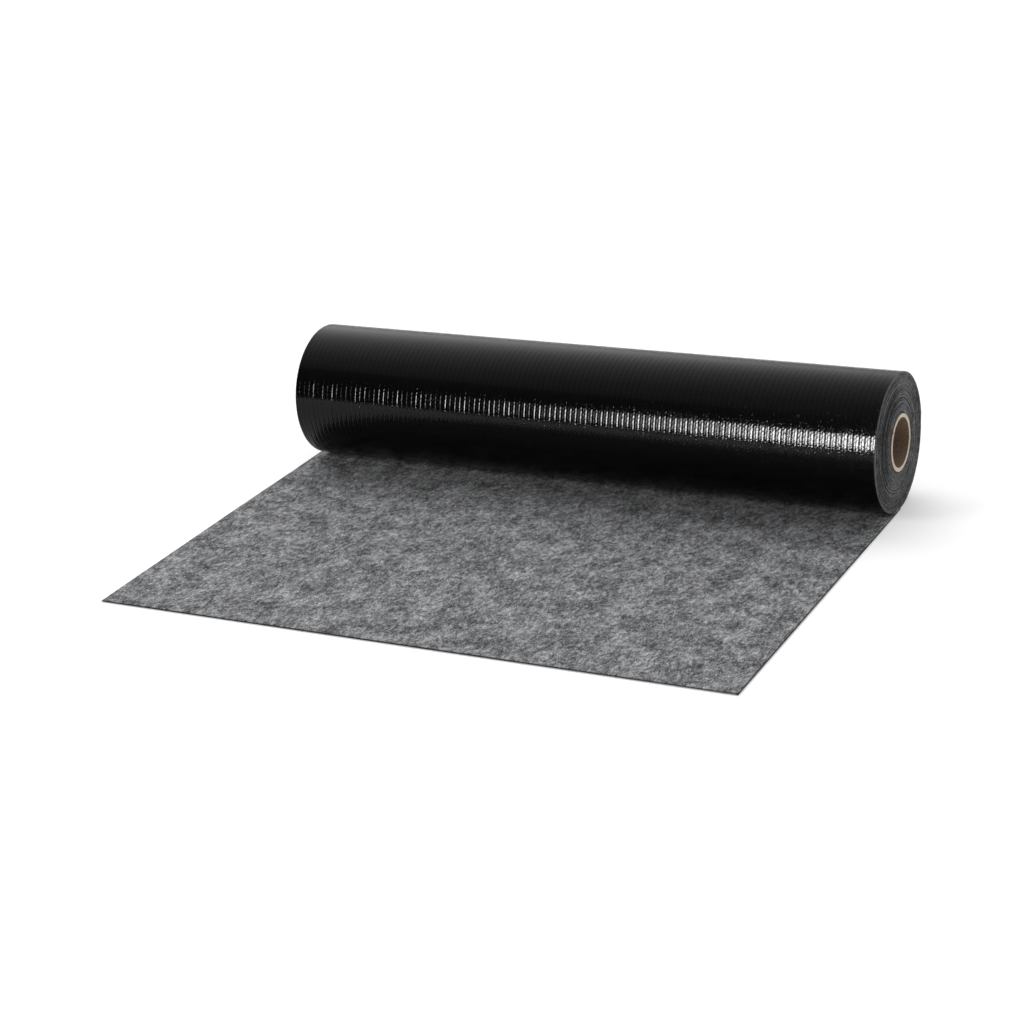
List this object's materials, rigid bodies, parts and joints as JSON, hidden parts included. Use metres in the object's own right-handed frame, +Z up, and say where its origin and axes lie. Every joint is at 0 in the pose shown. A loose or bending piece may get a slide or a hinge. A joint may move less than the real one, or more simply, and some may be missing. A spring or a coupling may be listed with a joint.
{
  "type": "roll of felt-backed flashing membrane",
  "caption": "Wide roll of black film with a grey felt back on a cardboard core, lying on its side with its loose end laid out flat, felt side up.",
  "frame": {"origin": "on the floor, at the middle of the rectangle that the roll and its loose end cover", "axes": "+X along the roll's axis, +Y from the free edge towards the roll, +Z up"},
  "size_m": [1.008, 0.773, 0.2155],
  "materials": {
    "membrane": "matte",
    "cardboard": "matte"
  },
  "bodies": {
    "root": {"membrane": "membrane", "core_tube": "cardboard"}
  },
  "joints": []
}
